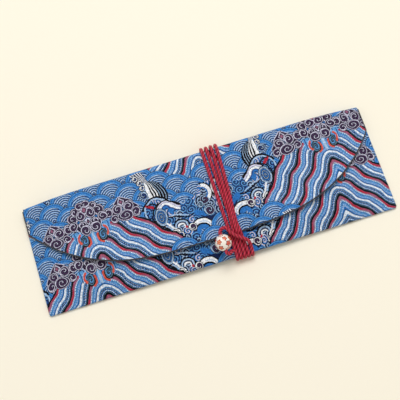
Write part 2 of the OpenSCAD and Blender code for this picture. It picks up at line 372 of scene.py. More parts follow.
def rock(ink, s, q):
    """A rounded rock of streaks, a fan of spray over it, and curls down its left side."""
    bulge = ((q - ROCK[1]) / ROCK_HALF).math("POWER", 2.0)
    width = (1 - bulge).math("MAXIMUM", 0.01).math("SQRT") * ROCK_WIDTH
    t = (s - ROCK[0]) / width
    shaded = t > 0.55
    lines = mix((t * 7 % 1) < mix(shaded, 0.42, 0.22), INK["night"], mix(shaded, INK["white"], INK["pale"]))
    lines = mix(t < 0.14, lines, INK["white"])
    ink = mix((t > 0) * (t < 1) * (q > -19.6) * (q < 2), ink, lines)
    across, down = s - SPRAY[0], q - SPRAY[1]
    t = (across * 0.8 - down * 0.6 + 1.6) / (2.9 - down * 0.45)
    lines = mix((t * 5 % 1) < 0.42, INK["navy"], INK["white"])
    ink = mix((t > 0) * (t < 1) * (q < -18.6) * (q > -28.5), ink, lines)
    return painted(ink, s, q, (
        (lobe, (42.3, -24.5), 1.9, 1, 0.4, "white", "deep"),
        (lobe, (43.9, -20.2), 1.8, 1, 0.4, "white", "deep"),
        (lobe, (44.6, -15.8), 1.7, 1, 0.4, "white", "deep"),
        (lobe, (43.6, -10.4), 3.1, 1, 0.1, "pale", "deep"),
    ))


# %% [markdown]
# The foam is filled with many small curls. A Voronoi texture scatters their middles, about 6 mm apart, and
# gives each curl a number that picks its two inks. Over the foam an arched wave rolls up, and breakers
# follow it.

# %% Foam
CURL_SPACING, CURL_PITCH = 5.8824, 1.9
ARCH, ARCH_R = (48.7, 4.5), 10.5


def foam_curls(s, q):
    """Small curls, line by line, round scattered middles."""
    tree = s.socket.id_data
    place = add_node(tree, "ShaderNodeCombineXYZ", inputs={0: s, 1: q}).outputs[0]
    cells = add_node(
        tree, "ShaderNodeTexVoronoi", {"voronoi_dimensions": "2D"},
        {"Vector": place, "Scale": 1 / CURL_SPACING, "Randomness": 0.85},
    )
    middle = add_node(tree, "ShaderNodeSeparateXYZ", inputs={0: cells.outputs["Position"]})
    across, down = s - Number(middle.outputs[0]), q - Number(middle.outputs[1])
    radius = (across * across + down * down).math("SQRT")
    angle = down.math("ARCTAN2", across) / (2 * math.pi)
    kind = Number(add_node(tree, "ShaderNodeSeparateColor", inputs={0: cells.outputs["Color"]}).outputs[0])
    turn = (radius / CURL_PITCH - angle + kind) % 1
    line = mix(kind > 0.45, INK["light"], mix(kind > 0.8, INK["pale"], INK["lilac"]))
    ground = mix(kind > 0.35, INK["deep"], mix(kind > 0.7, INK["navy"], INK["mid"]))
    ink = mix(turn < 0.36, ground, line)
    return mix(turn > 0.76, ink, INK["night"])


def breaking_sea(ink, s, q):
    """Foam over the scales. Its top sinks from the arch to the near breaker and rises to the far one."""
    _, _, arch = from_point(s, q, ARCH)
    sinking = (s - 64.7) * 0.65 + 5
    rising = (13 - (s - 77) * 3.2).math("MAXIMUM", -2.5)
    sea = (q > sinking.math("MINIMUM", rising)) * (s > 56)
    sea = sea.math("MAXIMUM", arch < ARCH_R).math("MAXIMUM", (q > ARCH[1]) * (s > 39))
    return mix(sea, ink, foam_curls(s, q))


# %% Arched wave
ARCH_CREST = (54.7, 6.2)


def arched_wave(ink, s, q):
    """The arched wave under the rock, with its red tongue and its eye."""
    ink = painted(ink, s, q, (
        (arc, ARCH, 9.2, 1.0, -110, 0.1, "pale"),
        (arc, ARCH_CREST, 3.4, 3.8, -90, -0.9, "mid"),
        (stroke, ((42.4, -1.8), (46.4, 0.8)), 1.9, "red"),
        (arc, (44.6, 3.4), 5.6, 0.9, -60, 0.6, "night"),
    ))
    middle_r = 4.6
    for r, width, name in (
        (7.3, 0.9, "night"), (6.3, 1.1, "lilac"), (middle_r, 1.7, "white"), (3.3, 0.7, "deep"),
    ):
        out = r - middle_r
        ends = ((57.2 + out * 0.6, 3.4 - out * 0.7), (63.7 + out * 0.5, 8.4 - out * 0.9))
        ink = arc(ink, s, q, ARCH_CREST, r, width, -105, 0.05, name)
        ink = stroke(ink, s, q, ends, width, name)
    return painted(ink, s, q, (
        (stroke, ((56.6, -1.9), (59.0, 0.6), (65.2, 5.4)), 1.2, "night"),
        (arc, ARCH, ARCH_R, 1.3, -100, 0.45, "night"),
        (stroke, ((50.7, -1), (46, 2.6), (43.3, 8.4), (45.5, 13.4), (51.6, 21.4)), 1.0, "night"),
        (lobe, (49.4, 9.8), 4.2, 0, 0.75, "pale", "mid", 0.64, 1.5),
        (stroke, ((51.6, 16), (53.8, 20), (57.2, 24)), 1.3, "white"),
        (stroke, ((50.2, 17.4), (54.2, 22.6)), 0.8, "pale"),
        (stroke, ((54.7, 12), (60, 13.7), (67.7, 17), (71.2, 16.2)), 1.0, "night"),
        (stroke, ((55.2, 10.8), (60.4, 12.4), (68.0, 15.4)), 0.8, "pale"),
        *((arc, (60.2, 22.2), r, 1.0, -65, -0.15, name)
          for r, name in ((5.6, "night"), (4.5, "pale"), (3.4, "navy"), (2.5, "white"))),
    ))


# %% Breakers
NEAR_BREAKER, FAR_BREAKER = (73.2, 30.4), (82.6, 4.5)


def breakers(ink, s, q):
    """The near breakers, which are curls with white crests, and then the far one."""
    return painted(ink, s, q, (
        (lobe, (53.4, 25.2), 3.1, 1, 0.0, "white", "night"),
        (lobe, (57.4, 27.4), 2.3, -1, 0.3, "white", "deep"),
        (stroke, ((50.2, 29.2), (52.6, 28.2)), 1.7, "red"),
        (stroke, ((63.4, 23.0), (64.0, 23.6)), 1.4, "red"),
        (stroke, ((74.0, 16.4), (78.6, 19.8)), 4.2, "mid"),
        (stroke, ((79.0, 23.4), (85.2, 25.6)), 4.4, "navy"),
        (stroke, ((76.0, 20.0), (81.4, 24.4), (83.4, 28.0)), 1.2, "navy"),
        (arc, NEAR_BREAKER, 9.2, 0.9, -75, 0.1, "night"),
        (arc, NEAR_BREAKER, 7.3, 2.9, -72, 0.3, "white"),
        (arc, NEAR_BREAKER, 6.9, 0.6, -50, 0.72, "pale"),
        (arc, NEAR_BREAKER, 5.2, 1.2, -75, 0.0, "night"),
        (arc, NEAR_BREAKER, 3.0, 3.2, -75, -0.6, "mid"),
        (lobe, (67.4, 25.0), 2.7, 1, 0.0, "white", "plum"),
        (lobe, (83.0, 9.4), 3.4, 1, 0.2, "pale", "plum"),
        (lobe, (78.8, 11.6), 2.3, -1, 0.2, "pale", "slate"),
        (lobe, (83.2, 18.0), 3.8, -1, 0.5, "pale", "plum"),
        (arc, FAR_BREAKER, 7.4, 0.9, -20, 0.3, "night"),
        (arc, FAR_BREAKER, 5.8, 2.3, -10, 0.4, "white"),
        (arc, FAR_BREAKER, 4.1, 0.9, -20, 0.1, "mid"),
    ))


# %% [markdown]
# The cliffs are crowned with light bands and two coral hooks. Above them the clouds are lobes in groups,
# and dark bands with lilac rims hold each group together.

# %% Hooks
HOOK = (7.4, 5.4)


def hooks(ink, s, q):
    """The light bands on a cliff's top, with a coral hook at each side."""
    on_top = q > -4
    ink = mix((s < 14) * on_top * (q < 8.5 - s * 0.35), ink, INK["light"])
    for x in (2.4, 9.4, 12.6):
        ink = mix(((s - x).math("ABSOLUTE") < 0.3) * on_top * (q < 5), ink, INK["deep"])
    ink = mix((s < 1.0) * on_top * (q < 10), ink, INK["pale"])
    return painted(ink, s, q, (
        (arc, HOOK, 4.6, 1.5, 165, 0.5, "coral"),
        (arc, HOOK, 3.5, 0.8, 150, 0.2, "night"),
        (lobe, (6.8, 4.6), 2.6, 1, 0.3, "slate", "light", 0.7, 2.2),
        (arc, (7.2, 2.2), 4.6, 0.7, -10, 0.3, "pale"),
        (arc, (6.8, 2.6), 4.2, 1.5, -5, 0.5, "coral"),
    ))


# %% Clouds
def clouds(ink, s, q):
    """Bands that hold a group of clouds together, and the lobes and diamonds on them."""
    for points in (
        ((0, -22.0), (8.6, -16.8)), ((0, -8.6), (7.0, -4.8)),
        ((19, -6.0), (23, -12), (26.6, -14.6), (31, -11), (35.4, -5.0)),
    ):
        for width, name in ((4.4, "lilac"), (3.5, "ash"), (1.8, "plum"), (0.7, "ash")):
            ink = stroke(ink, s, q, points, width, name)
    return painted(ink, s, q, (
        (lobe, (15.4, -8.8), 3.2, 1, 0.2), (lobe, (9.9, -14.0), 3.9, -1, 0.6),
        (lobe, (10.9, -8.6), 3.4, 1, 0.1), (lobe, (18.6, -2.2), 3.0, 1, 0.6),
        (lobe, (34.4, -1.8), 3.2, -1, 0.1), (lobe, (22.4, -8.6), 3.6, 1, 0.15),
        (lobe, (30.8, -7.8), 3.6, -1, 0.65), (lobe, (26.6, -1.9), 5.6, 1, 0.3, "lilac", "plum", 1.35),
        (lobe, (7.0, -18.6), 2.7, 1, 0.5), (lobe, (2.4, -21.2), 2.8, -1, 0.2),
        (diamond, (26.6, -12.6), 2.6, "rose"), (lobe, (3.6, -14.2), 3.7, -1, 0.35),
        (diamond, (0, -17.2), 2.8, "rose"), (diamond, (0, -8.4), 2.4, "rose"),
        (lobe, (4.6, -7.4), 2.5, 1, 0.4), (lobe, (3.7, -2.7), 3.8, 1, 0.75),
    ))


# %% [markdown]
# The whole pattern is put together here. First the point is turned into the cloth's own directions and
# stepped thread by thread, as a loom draws. Then it is folded into half a repeat, and the shapes are laid
# on from the back to the front. The scales of the next row come last. Small node trees build much faster
# than one large one, so each part of the pattern goes into a group of its own.

# %% Groups of nodes
def grouped(draw, *numbers):
    """Runs a drawing function once, in a node group of its own, and uses that group."""
    tree = numbers[0].socket.id_data
    group = bpy.data.node_groups.get(draw.__name__)
    if group is None:
        group = bpy.data.node_groups.new(draw.__name__, "ShaderNodeTree")
        for i in range(len(numbers)):
            group.interface.new_socket(f"number {i + 1}", in_out="INPUT", socket_type="NodeSocketFloat")
        entry = add_node(group, "NodeGroupInput")
        results = draw(*[Number(socket) for socket in entry.outputs[:len(numbers)]])
        results = results if isinstance(results, tuple) else (results,)
        for i in range(len(results)):
            group.interface.new_socket(f"result {i + 1}", in_out="OUTPUT", socket_type="NodeSocketFloat")
        add_node(group, "NodeGroupOutput", inputs=dict(enumerate(results)))
    node = add_node(tree, "ShaderNodeGroup", {"node_tree": group}, dict(enumerate(numbers)))
    results = [Number(socket) for socket in node.outputs]
    return results if len(results) > 1 else results[0]


# %% The pattern as one ink number
CLIFF_DROP, CLIFF_TOP, ROW_REACH = -36.9, -2, 10


def brocade_ink(x, down, wobble):
    """The ink at a place on the cloth, in millimetres. The wobble makes the outlines less exact."""
    x, down = x.math("SNAP", THREAD_STEP), down.math("SNAP", THREAD_STEP)
    x, down = x - CLIFF_AT[0], down - CLIFF_AT[1]
    c, n = math.cos(CLOTH_TURN), math.sin(CLOTH_TURN)
    p, q = x * c - down * n, x * n + down * c
    folded = ((p + HALF_ACROSS) % REPEAT_ACROSS - HALF_ACROSS).math("ABSOLUTE")
    q = (q + HALF_DOWN) % REPEAT_DOWN - HALF_DOWN
    below = q > border_below(folded) + ROW_REACH
    above = q < border_below(HALF_ACROSS - folded) + (ROW_REACH - HALF_DOWN)
    s = folded + (below + above) * (HALF_ACROSS - folded * 2)
    q = q + (above - below) * HALF_DOWN
    ink, _, _ = grouped(sea_scales, s, q)
    front, front_top, front_middle = grouped(sea_scales, HALF_ACROSS - s, q - HALF_DOWN)
    over = front_top + HALF_DOWN > border_below(HALF_ACROSS - front_middle)
    s, q = s + wobble[0], q + wobble[1]
    for draw in (rock, breaking_sea, arched_wave, breakers):
        ink = grouped(draw, ink, s, q)
    stripes, drop = grouped(cliff_stripes, s, q)
    ink = mix((drop > CLIFF_DROP) * (q > CLIFF_TOP), ink, stripes)
    ink = grouped(hooks, ink, s, q)
    ink = grouped(clouds, ink, s, q)
    return mix(over, ink, front)


# %% [markdown]
# ## Silk brocade as a material
# Brocade is a satin ground with coloured floats on it. Its threads run across and along, about three to a
# millimetre, which is too fine to show here, so the ribs are drawn a little coarser. The floats give a soft
# sheen, so the roughness is middling and a little sheen is added. A slow noise bends the outlines by less
# than a millimetre, and a fine one makes the threads uneven in tone.

# %% Brocade material
RIB, WOBBLE, WOBBLE_SIZE, SPECKLE_SIZE = 0.55, 1.6, 7.6923, 1.1111


def brocade(name):
    material, tree, surface = new_material(name)
    place = add_node(tree, "ShaderNodeUVMap", {"uv_map": "cloth"})
    parts = add_node(tree, "ShaderNodeSeparateXYZ", inputs={0: place.outputs[0]})
    x, down = Number(parts.outputs[0]) * TO_MM, Number(parts.outputs[1]) * TO_MM

    noise = add_node(
        tree, "ShaderNodeTexNoise", {"noise_dimensions": "2D"},
        {"Vector": place.outputs[0], "Scale": TO_MM / WOBBLE_SIZE, "Detail": 1.0},
    )
    swirl = add_node(tree, "ShaderNodeSeparateColor", inputs={0: noise.outputs["Color"]})
    wobble = [(Number(swirl.outputs[i]) - 0.5) * WOBBLE for i in (0, 1)]
    ink = brocade_ink(x, down, wobble)

    ramp = add_node(tree, "ShaderNodeValToRGB", inputs={0: ink})
    ramp.color_ramp.interpolation = "CONSTANT"
    stops = ramp.color_ramp.elements
    for i, hex_value in enumerate(INKS.values()):
        stop = stops[i] if i < 2 else stops.new(i / len(INKS))
        stop.position, stop.color = i / len(INKS), colour(hex_value)

    threads = ((x / RIB) % 1 - 0.5).math("ABSOLUTE") * ((down / RIB) % 1 - 0.5).math("ABSOLUTE") * 4
    speckle = add_node(
        tree, "ShaderNodeTexNoise", {"noise_dimensions": "2D"},
        {"Vector": place.outputs[0], "Scale": TO_MM / SPECKLE_SIZE, "Detail": 1.0},
    )
    shade = (Number(speckle.outputs[0]) - 0.5) * 1.1 + 0.9 + threads * 0.08
    toned = add_node(
        tree, "ShaderNodeMix", {"data_type": "RGBA", "blend_type": "MULTIPLY"},
        {0: 1.0, 6: ramp.outputs[0], 7: shade},
    )
    bump = add_node(
        tree, "ShaderNodeBump", inputs={"Strength": 0.5, "Distance": 0.12 * MM, "Height": threads}
    )
    feed(surface, {
        "Base Color": toned.outputs[2], "Roughness": 0.6, "Specular IOR Level": 0.08,
        "Sheen Weight": 0.03, "Sheen Roughness": 0.4, "Normal": bump.outputs[0],
    })
    print(name, "has", len(tree.nodes), "nodes")
    return material


silk_brocade = brocade("silk_brocade")

# %% [markdown]
# The other cloths are plain: the cotton felt that stiffens the panels, the thin golden lining silk, and the
# dark satin that binds the flap's edge, darkened so that it also serves as painted shade under that edge.
# All three show their threads as fine ribs.

# %% Plain cloths
DYE_SIZE = 3.8462


def plain_cloth(name, ground, shade, threads, roughness, sheen):
    """Cloth of one colour with woven ribs, so many to a millimetre, and slightly uneven dye."""
    material, tree, surface = new_material(name)
    place = add_node(tree, "ShaderNodeTexCoord").outputs["Object"]
    parts = add_node(tree, "ShaderNodeSeparateXYZ", inputs={0: place})
    ribs = 0.0
    for i in (0, 1):
        ribs = (Number(parts.outputs[i]) * (threads * TO_MM * 2 * math.pi)).math("SINE") * 0.25 + ribs
    uneven = add_node(
        tree, "ShaderNodeTexNoise", inputs={"Vector": place, "Scale": TO_MM / DYE_SIZE, "Detail": 3.0}
    )
    tone = Number(uneven.outputs[0]) + ribs * 0.5
    mixed = add_node(
        tree, "ShaderNodeMix", {"data_type": "RGBA"}, {0: tone, 6: colour(shade), 7: colour(ground)}
    )
    bump = add_node(tree, "ShaderNodeBump", inputs={"Strength": 0.4, "Distance": 0.1 * MM, "Height": ribs})
    feed(surface, {
        "Base Color": mixed.outputs[2], "Normal": bump.outputs[0],
        "Roughness": roughness, "Sheen Weight": sheen,
    })
    print(name, "has", len(tree.nodes), "nodes")
    return material


cotton_felt = plain_cloth("cotton_felt", "#EDE6D4", "#D9CFB8", 0.9, 0.9, 0.1)
lining_silk = plain_cloth("lining_silk", "#D3AE57", "#B98F3A", 1.6, 0.5, 0.2)
# The binding's near black is partly the satin's own colour and partly painted shade for the gap under the
# flap's edge
dark_satin_and_shade = plain_cloth("dark_satin_and_shade", "#171A2B", "#0A0C16", 1.8, 0.5, 0.2)

# %% [markdown]
# ## The form of the cloth
# The pouch is nearly flat at its edges and swells towards the middle, where the sticks go. These functions
# give the height of each cloth over the table, and repeat the CAD's own, so that every cloth lies where
# its solid does.

# %% Heights of the cloth, in millimetres
HALF_L, HALF_W, PANEL_T, PIPING_R = 130.0, 41.0, 1.2, 0.9
HEM_R = PANEL_T
SPAN = HALF_L - HEM_R
FOOT, PLATEAU, WINDING_X, RISE = 20.0, 11.8, 15.3, 2.95
SIDE_RUN, BOTTOM_RUN, POCKET_LEVEL = 60.0, 40.0, 8.95
BOTTOM_Y, MOUTH_Y, CREASE_R = -39.8, 36.0, 3.5
FLAP_GAP, FLAP_DEPTH, FLAP_SIDE_DEPTH, FLAP_POWER = 0.7, 66.0, 20.0, 3.6


def ease(share):
    """From 0 to 1 with a soft start and end."""
    share = np.clip(share, 0, 1)
    return share * share * (3 - 2 * share)


def swell(share):
    """From 0 to 1 with a steep start and a soft end."""
    return 1 - (1 - np.clip(share, 0, 1)) ** 3


def lift(x):
    """How high the back lies: it rises where the cord passes under it."""
    left = (x + HALF_L - FOOT) / (WINDING_X - PLATEAU + HALF_L - FOOT)
    right = (HALF_L - FOOT - x) / (HALF_L - FOOT - WINDING_X - PLATEAU)
    return RISE * ease(np.where(x < WINDING_X, left, right))


def front_z(x, y):
    low = lift(x) + PANEL_T
    raised = swell((SPAN - np.abs(x)) / SIDE_RUN) * swell((y - BOTTOM_Y) / BOTTOM_RUN)
    return low + (POCKET_LEVEL - low) * raised + PANEL_T


def flap_z(x, y):
    return front_z(x, y) + FLAP_GAP + PANEL_T


def fold_top_z(x):
    return flap_z(x, HALF_W - CREASE_R)


def crease_r_at(x):
    """The creases' radius, which is smaller towards the thin ends."""
    return np.minimum(CREASE_R, (fold_top_z(x) - lift(x)) / 2 * 0.98)


def crease_y_at(x):
    return HALF_W - crease_r_at(x)


def flap_edge_y(x):
    """The flap's curved edge, deepest in the middle."""
    droop = (FLAP_DEPTH - FLAP_SIDE_DEPTH) * (1 - (np.abs(x) / SPAN) ** FLAP_POWER)
    return HALF_W - FLAP_SIDE_DEPTH - droop


print("the flap's middle lies", round(float(flap_z(0, 0)), 1), "mm over the table")

# %% [markdown]
# ## Cloth from a grid
# A sheet of cloth is a grid whose points are moved to their place, with its thickness added last. The same
# strip of brocade runs from the flap's tip over the top fold, down the back, round the bottom and up the
# front, so each piece keeps the place along that strip as its UV map, and the pattern runs on from piece to
# piece.

# %% Cloth builder
def cloth(name, columns, rows, place, thickness, material, body=None):
    """A grid of cloth. place gives points and cloth coordinates, in millimetres, from two shares."""
    deselect_all()
    bpy.ops.mesh.primitive_grid_add(x_subdivisions=columns, y_subdivisions=rows, size=1)
    obj = bpy.context.object
    obj.name = obj.data.name = name
    mesh = obj.data
    flat = np.empty(len(mesh.vertices) * 3, np.float32)
    mesh.vertices.foreach_get("co", flat)
    share = flat.reshape(-1, 3)[:, :2].astype(float) + 0.5
    points, cloth_place = place(share[:, 0], share[:, 1])
    mesh.vertices.foreach_set("co", (np.stack(points, 1) * MM).astype(np.float32).ravel())
    while mesh.uv_layers:
        mesh.uv_layers.remove(mesh.uv_layers[0])
    uv = mesh.uv_layers.new(name="cloth")
    corner = np.empty(len(mesh.loops), np.int32)
    mesh.loops.foreach_get("vertex_index", corner)
    uv.data.foreach_set("uv", (np.stack(cloth_place, 1)[corner] * MM).astype(np.float32).ravel())
    mesh.update()
    apply_modifier(obj, "SOLIDIFY", thickness=thickness * MM, offset=-1.0)
    mesh.materials.clear()
    mesh.materials.append(material)
    deselect_all()
    obj.select_set(True)
    bpy.context.view_layer.objects.active = obj
    bpy.ops.object.shade_smooth_by_angle(angle=math.radians(40))
    if body:
        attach(obj, body)
    print(name, len(mesh.vertices), "points")
    return obj


def along(share, low, high):
    return low + (high - low) * share


# %% The layers: name, depth under the outer face, thickness, material and slot
BROCADE_T, FELT_T, LINING_T, HEM_CLOTH_T, BINDING_T = 0.5, 0.5, 0.2, 0.45, 0.3
LAYERS = (
    ("brocade", 0.0, BROCADE_T, silk_brocade, "brocade"),
    ("interlining", BROCADE_T, FELT_T, cotton_felt, "interlining"),
    ("lining", BROCADE_T + FELT_T, LINING_T, lining_silk, "lining"),
)
COLUMNS, INNER_COLUMNS = 132, 96
print("the layers are", round(BROCADE_T + FELT_T + LINING_T, 2), "mm thick together")

# %% [markdown]
# ## The front and the back
# The brocade of the front and the back is one sheet, folded round the bottom edge. Inside it lie the
# felt and the lining, each a sheet of its own. On the photographed pouch the front shows the pattern 27 mm
# lower than the flap does, and the back is where the strip's leftover is taken up.

# %% Places along the brocade strip
FRONT_SHIFT = (4.0, 14.0)
BOTTOM_ARC = math.pi * HEM_R
BACK_START = FRONT_SHIFT[1] - BOTTOM_Y + BOTTOM_ARC
BACK_SKEW, BACK_EASE = 0.115, 0.909


def front_place(x, y):
    return x + FRONT_SHIFT[0], FRONT_SHIFT[1] - y


def back_place(x, y):
    up = y - BOTTOM_Y
    return x + FRONT_SHIFT[0] + up * BACK_SKEW, BACK_START + up * BACK_EASE


print("the back starts", round(BACK_START, 1), "mm along the strip")

# %% Sheets: the folded one and flat panels
BACK_SHARE, BEND_SHARE = 0.42, 0.08


def pouch_sheet(across, up):
    """From the back's top edge down, round the bottom fold, and up the front to the mouth."""
    x = along(across, -SPAN, SPAN)
    front_from = BACK_SHARE + BEND_SHARE
    on_back, on_front = up < BACK_SHARE, up > front_from
    y = np.select(
        [on_back, up < front_from],
        [along(up / BACK_SHARE, crease_y_at(x), BOTTOM_Y), BOTTOM_Y],
        along((up - front_from) / (1 - front_from), BOTTOM_Y, MOUTH_Y),
    )
    turn = np.clip((up - BACK_SHARE) / BEND_SHARE, 0, 1) * math.pi
    z = np.where(on_back, lift(x), np.where(on_front, front_z(x, y), lift(x) + HEM_R * (1 - np.cos(turn))))
    y = np.where(on_back | on_front, y, BOTTOM_Y - HEM_R * np.sin(turn))
    u_back, v_back = back_place(x, y)
    u_front, v_front = front_place(x, y)
    v_bend = BACK_START - BOTTOM_ARC * turn / math.pi
    u = np.where(on_back, u_back, u_front)
    v = np.where(on_back, v_back, np.where(on_front, v_front, v_bend))
    return (x, y, z), (u, v)


def panel(height, low, high, coordinates, depth):
    """A sheet of one panel, at a depth under its outer face."""
    def place(across, up):
        x = along(across, -SPAN, SPAN)
        y = along(up, low(x), high(x))
        return (x, y, height(x, y) - depth), coordinates(x, y)
    return place


def level(y):
    """The same y at every x, for a straight edge."""
    return lambda x: y + 0 * x


# %% Pouch body
pouch_brocade = cloth("pouch_brocade", COLUMNS, 100, pouch_sheet, BROCADE_T, silk_brocade, "pouch")
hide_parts("back_brocade", "front_brocade", "bottom_fold")

for layer, depth, thickness, material, slot in LAYERS[1:]:
    front = cloth(
        f"front_{layer}_sheet", INNER_COLUMNS, 40,
        panel(front_z, level(BOTTOM_Y), level(MOUTH_Y), front_place, depth), thickness, material, "pouch",
    )
    back = cloth(
        f"back_{layer}_sheet", INNER_COLUMNS, 20,
        panel(lambda x, y: lift(x), crease_y_at, level(BOTTOM_Y), back_place, -depth),
        thickness, material, "pouch",
    )
    for piece, side, top_y in ((front, "front", MOUTH_Y), (back, "back", HALF_W - CREASE_R)):
        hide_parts(f"{side}_{layer}")

# %% [markdown]
# ## The side edges and the mouth
# Along the two short sides the brocade is turned in and sewn, which gives a soft round edge. The edge of
# the pocket's mouth is turned over the front panel in the same way. Both are half rounds that carry the
# brocade on.

# %% Side edges and mouth
def side_edge(side):
    """The left edge runs down and the right one up, so that the thickness of both goes inwards."""
    ends = (MOUTH_Y, BOTTOM_Y - HEM_R) if side < 0 else (BOTTOM_Y - HEM_R, MOUTH_Y)

    def place(along_y, round_share):
        y = along(along_y, *ends)
        corner = np.clip((BOTTOM_Y - y) / HEM_R, 0, 1)
        r = HEM_R * np.sqrt(np.maximum(1 - corner * corner, 1e-6))
        turn = along(round_share, -math.pi / 2, math.pi / 2)
        x = side * (SPAN + r * np.cos(turn))
        z = HEM_R + r * np.sin(turn)
        u, v = front_place(x, y)
        v = np.where(z < HEM_R, v + 2 * HEM_R, v)
        return (x, y, z), (u + side * (HEM_R - z) * 0.5, v)
    return place


def mouth_edge(across, round_share):
    x = along(across, -SPAN, SPAN)
    r = PANEL_T / 2
    turn = along(round_share, math.pi / 2, -math.pi / 2)
    y = MOUTH_Y + r * np.cos(turn)
    z = front_z(x, MOUTH_Y) - r + r * np.sin(turn)
    u, v = front_place(x, MOUTH_Y)
    return (x, y, z), (u, v - (math.pi / 2 - turn) * r)


for name, place, columns, rows in (
    ("left_side_edge", side_edge(-1), 60, 10), ("right_side_edge", side_edge(1), 60, 10),
    ("mouth_edge", mouth_edge, INNER_COLUMNS, 10),
):
    edge = cloth(name, columns, rows, place, HEM_CLOTH_T, silk_brocade, "pouch")
    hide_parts(name.replace("edge", "hem"))

# %% [markdown]
# ## The flap
# The flap hangs over the front, deepest in the middle. Its edge is bound with dark satin, which shows as a
# thin dark line. The binding is made wide and nearly black, so that it also stands in for the shadow under
# the flap's edge as painted shade.

# %% The flap's height and place
EDGE_RISE, RISE_DEPTH, CORNER_RUN = 2.0, 14, 40
HELD_X, HELD_HALF, HELD_RUN = 14, 8, 8


def flap_place(x, y):
    return x, HALF_W - y


def edge_rise(x, y):
    """The flap's free edge stands up a little, except where the cord holds it down and at the corners."""
    near_edge = 1 - ease((y - flap_edge_y(x)) / RISE_DEPTH)
    free = ease((np.abs(x - HELD_X) - HELD_HALF) / HELD_RUN)
    return EDGE_RISE * near_edge * free * ease((SPAN - np.abs(x)) / CORNER_RUN)


def raised_flap_z(x, y):
    return flap_z(x, y) + edge_rise(x, y)


# %% Flap
for layer, depth, thickness, material, slot in LAYERS:
    sheet = cloth(
        f"flap_{layer}_sheet", COLUMNS, 50,
        panel(raised_flap_z, flap_edge_y, crease_y_at, flap_place, depth),
        thickness, material, "flap",
    )
    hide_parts(f"flap_{layer}")


# %% The flap's bound edge
SIDE_SHARE = 0.06


def flap_outline(share):
    """Down the left short edge, along the curve and up the right one."""
    corner_top = crease_y_at(np.array(SPAN))
    corner_low = flap_edge_y(np.array(SPAN))
    x = np.clip((share - SIDE_SHARE) / (1 - 2 * SIDE_SHARE), 0, 1) * 2 * SPAN - SPAN
    from_end = np.minimum(share, 1 - share) / SIDE_SHARE
    return x, np.where(from_end < 1, along(from_end, corner_top, corner_low), flap_edge_y(x))


def flap_binding(share, round_share):
    """Half a round that stands out square to the flap's outline."""
    x, y = flap_outline(share)
    step = 1e-3
    x_next, y_next = flap_outline(np.minimum(share + step, 1))
    x_last, y_last = flap_outline(np.maximum(share - step, 0))
    dx, dy = x_next - x_last, y_next - y_last
    length = np.hypot(dx, dy)
    turn = along(round_share, -math.pi / 2, math.pi / 2)
    # The binding reaches out wider than a turned edge would, so that its dark satin also lies where the
    # flap's shadow falls, as painted shade
    reach = PIPING_R * np.cos(turn)
    points = (
        x + dy / length * reach, y - dx / length * reach,
        raised_flap_z(x, y) - PANEL_T / 2 + PANEL_T / 2 * np.sin(turn),
    )
    return points, (points[0], points[1])


binding = cloth("flap_binding", 240, 8, flap_binding, BINDING_T, dark_satin_and_shade, "flap")
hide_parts("flap_rolled_edge")

# %% [markdown]
# ## The top fold
# Over the top the cloth bends twice, once off the back and once onto the flap. When the flap opens, both
# creases open out, so the fold is made as two halves. They meet in the straight part between the creases.

# %% Top fold
FRONT_BEND_END, BACK_BEND_START = 0.4, 0.6
BLEND_Y, BLEND_Z = (38.9, 41.0), 5.0


def fold_sheet(depth, first, last):
    """Part of the way from the flap's crease over the top to the back, between two shares of it."""
    def place(across, share):
        x = along(across, -SPAN, SPAN)
        share = along(share, first, last)
        r, top, low = crease_r_at(x), fold_top_z(x), lift(x)
        y0 = HALF_W - r
        front = np.clip(share / FRONT_BEND_END, 0, 1) * math.pi / 2
        back = np.clip((share - BACK_BEND_START) / (1 - BACK_BEND_START), 0, 1) * math.pi / 2
        wall = np.clip((share - FRONT_BEND_END) / (BACK_BEND_START - FRONT_BEND_END), 0, 1)
        y = np.where(share < 0.5, y0 + (r - depth) * np.sin(front), y0 + (r - depth) * np.cos(back))
        z = np.select(
            [share < FRONT_BEND_END, share < BACK_BEND_START],
            [top - r + (r - depth) * np.cos(front), along(wall, top - r, low + r)],
            low + r - (r - depth) * np.sin(back),
        )
        gone = r * front + (top - low - 2 * r) * wall + r * back
        u, v = flap_place(x, y0)
        return (x, y, z), (u, v - gone)
    return place


for layer, depth, thickness, material, slot in LAYERS:
    for part, first, last, bodies, ends in (
        ("back", 0.5, 1.0, ("pouch", "top_fold"), BLEND_Y),
        ("front", 0.0, 0.5, ("top_fold", "flap"), BLEND_Y[::-1]),
    ):
        sheet = cloth(
            f"fold_{layer}_{part}", COLUMNS, 16, fold_sheet(depth, first, last), thickness, material
        )
        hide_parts(f"fold_{layer}")
        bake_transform(sheet)

# %% [markdown]
# The brocade round the pouch is a little longer than its panels, because the front swells. The flap's cut
# isn't a rectangle.

# %% [markdown]
# ## The cord
# The cord is a soft red rayon cord of three plies, 2.7 mm thick. It starts under its own turns on the back,
# is wound four times round the pouch, crosses over the turns, goes through the bead and is tucked in. Its
# route repeats the CAD's points, made smooth by a spline.

# %% The cord's sizes, in millimetres
CORD_D, CLEARANCE, TURNS = 2.7, 0.25, 4
CORD_LIE, CORD_STEP = CORD_D / 2 + CLEARANCE, 0.6
FIRST_TURN_X, SLANT, TURN_PITCH, TOP_PITCH = 8.7, -0.7, 2.8, 3.6
BOTTOM_R, TOP_R = HEM_R + CORD_LIE, CREASE_R + CORD_LIE
CREASE_Y, FLAP_TIP_Y = HALF_W - CREASE_R, HALF_W - FLAP_DEPTH
BEAD_D, BEAD_LENGTH, BEAD_X, BEAD_BELOW_TIP, BEAD_CLEAR = 12.0, 11.4, 1.8, 5.6, 0.6
bead_middle = np.array([BEAD_X, FLAP_TIP_Y - BEAD_BELOW_TIP, 0.0])
bead_middle[2] = front_z(*bead_middle[:2]) + BEAD_CLEAR + BEAD_D / 2

